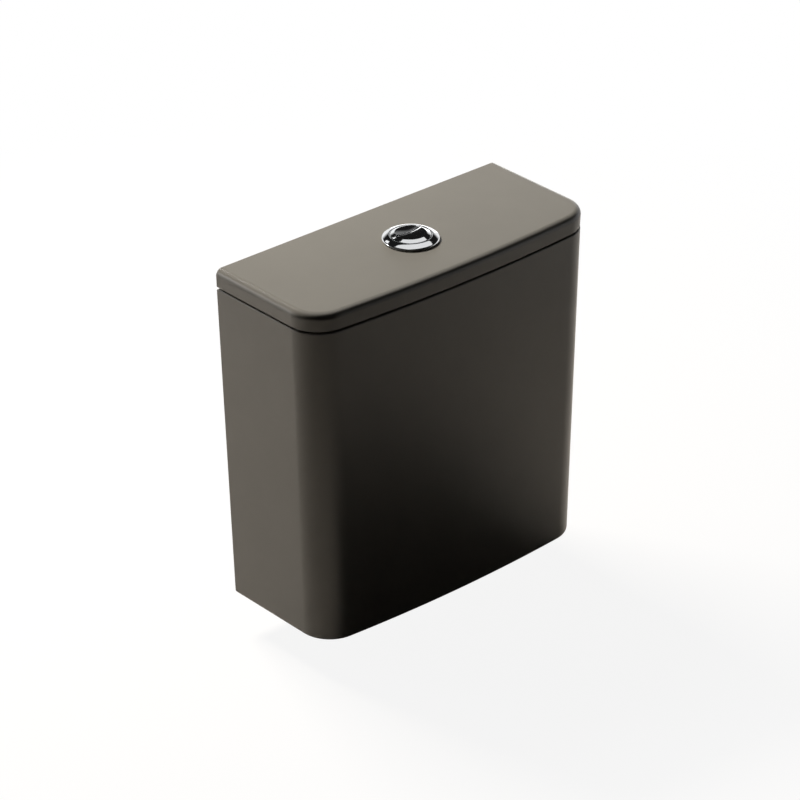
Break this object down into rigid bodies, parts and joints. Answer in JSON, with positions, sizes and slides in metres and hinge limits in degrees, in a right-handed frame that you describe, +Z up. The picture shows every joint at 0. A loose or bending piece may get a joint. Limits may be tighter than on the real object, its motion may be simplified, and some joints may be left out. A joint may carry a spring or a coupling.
{
  "type": "toilet cistern",
  "caption": "Close coupled toilet cistern: bowed ceramic tank, lift-off lid, split dual flush button, flush valve, bottom entry fill valve and coupling bolts.",
  "frame": {"origin": "on the outlet's axis in the plane of the tank's foot, midway between the coupling bolts", "axes": "+Z up, +X to the right seen from the front, -Y towards the bowed front and +Y towards the wall"},
  "size_m": [0.372, 0.154, 0.4169],
  "materials": {
    "clay": "satin",
    "chrome": "polished",
    "white_plastic": "satin",
    "grey_plastic": "satin",
    "blue_plastic": "satin",
    "black_rubber": "matte",
    "red_rubber": "matte",
    "steel": "satin",
    "brass": "satin"
  },
  "bodies": {
    "tank": {"tank_body": "clay", "lid_buffers": "black_rubber", "valve_base": "white_plastic", "base_gasket": "black_rubber", "valve_backnut": "white_plastic", "pan_gasket": "black_rubber", "valve_cage": "white_plastic", "valve_head": "white_plastic", "rocker_pins": "steel", "float_stops": "grey_plastic", "inlet_shank": "white_plastic", "inlet_filter": "blue_plastic", "inlet_seal": "black_rubber", "inlet_backnut": "white_plastic", "riser_tube": "grey_plastic", "height_collar": "blue_plastic", "fill_head": "white_plastic", "fill_diaphragm": "black_rubber", "fill_cap": "grey_plastic", "lever_pin": "steel", "coupling_bolts": "steel", "bolt_cone_washers": "black_rubber", "bolt_plate_washers": "steel", "bolt_nuts": "brass"},
    "lid": {"tank_lid": "clay", "button_bezel": "chrome", "button_sleeve": "white_plastic", "button_washer": "black_rubber", "button_nut": "grey_plastic", "full_return_spring": "steel", "half_return_spring": "steel"},
    "full_button": {"full_flush_button": "chrome", "full_push_rod": "grey_plastic"},
    "half_button": {"half_flush_button": "chrome", "half_push_rod": "blue_plastic"},
    "full_plunger": {"full_plunger": "grey_plastic"},
    "half_plunger": {"half_plunger": "blue_plastic"},
    "full_rocker": {"full_rocker": "grey_plastic"},
    "half_rocker": {"half_rocker": "blue_plastic"},
    "lift_collar": {"lift_collar": "grey_plastic"},
    "flush_tube": {"overflow_tube": "white_plastic", "flush_seal": "red_rubber", "seal_retainer": "grey_plastic"},
    "half_float": {"half_flush_float": "blue_plastic"},
    "fill_float": {"float_cup": "grey_plastic", "adjuster_rod": "white_plastic", "adjuster_nuts": "blue_plastic"},
    "fill_lever": {"fill_lever": "blue_plastic"}
  },
  "joints": [
    {"name": "lid_lift", "type": "slide", "parent": "tank", "child": "lid", "axis": [0, 0, 1], "range_m": [0, 0.12]},
    {"name": "full_press", "type": "slide", "parent": "lid", "child": "full_button", "axis": [0, 0, -1], "range_m": [0, 0.0072], "stiffness_N_per_m": 400, "springref_m": -0.005, "deforming": ["full_return_spring"]},
    {"name": "half_press", "type": "slide", "parent": "lid", "child": "half_button", "axis": [0, 0, -1], "range_m": [0, 0.0072], "stiffness_N_per_m": 400, "springref_m": -0.005, "deforming": ["half_return_spring"]},
    {"name": "full_plunger_slide", "type": "slide", "parent": "tank", "child": "full_plunger", "axis": [0, 0, -1], "range_m": [0, 0.0073]},
    {"name": "half_plunger_slide", "type": "slide", "parent": "tank", "child": "half_plunger", "axis": [0, 0, -1], "range_m": [0, 0.0073]},
    {"name": "full_rocker_tilt", "type": "hinge", "parent": "tank", "child": "full_rocker", "pos_m": [0, -0.027, 0.262], "axis": [1, 0, 0], "range_deg": [0, 30]},
    {"name": "half_rocker_tilt", "type": "hinge", "parent": "tank", "child": "half_rocker", "pos_m": [0, 0.027, 0.262], "axis": [-1, 0, 0], "range_deg": [0, 30]},
    {"name": "collar_lift", "type": "slide", "parent": "tank", "child": "lift_collar", "axis": [0, 0, 1], "range_m": [0, 0.0125]},
    {"name": "tube_lift", "type": "slide", "parent": "lift_collar", "child": "flush_tube", "axis": [0, 0, 1], "range_m": [0, 0.0125]},
    {"name": "half_float_rise", "type": "slide", "parent": "tank", "child": "half_float", "axis": [0, 0, 1], "range_m": [0, 0.03]},
    {"name": "fill_float_rise", "type": "slide", "parent": "tank", "child": "fill_float", "axis": [0, 0, 1], "range_m": [0, 0.0141]},
    {"name": "fill_lever_tilt", "type": "hinge", "parent": "tank", "child": "fill_lever", "pos_m": [-0.133, 0.008, 0.293], "axis": [0, -1, 0], "range_deg": [0, 24]}
  ],
  "couplings": [
    {"joint": "full_plunger_slide", "follows": "full_press", "ratio": 1},
    {"joint": "half_plunger_slide", "follows": "half_press", "ratio": 1},
    {"joint": "full_rocker_tilt", "follows": "full_press", "rad_per_m": 72.251},
    {"joint": "half_rocker_tilt", "follows": "half_press", "rad_per_m": 72.251},
    {"joint": "collar_lift", "follows": "full_press", "ratio": 1.7143},
    {"joint": "tube_lift", "follows": "half_press", "ratio": 1.7143},
    {"joint": "fill_lever_tilt", "follows": "fill_float_rise", "rad_per_m": 29.628}
  ]
}
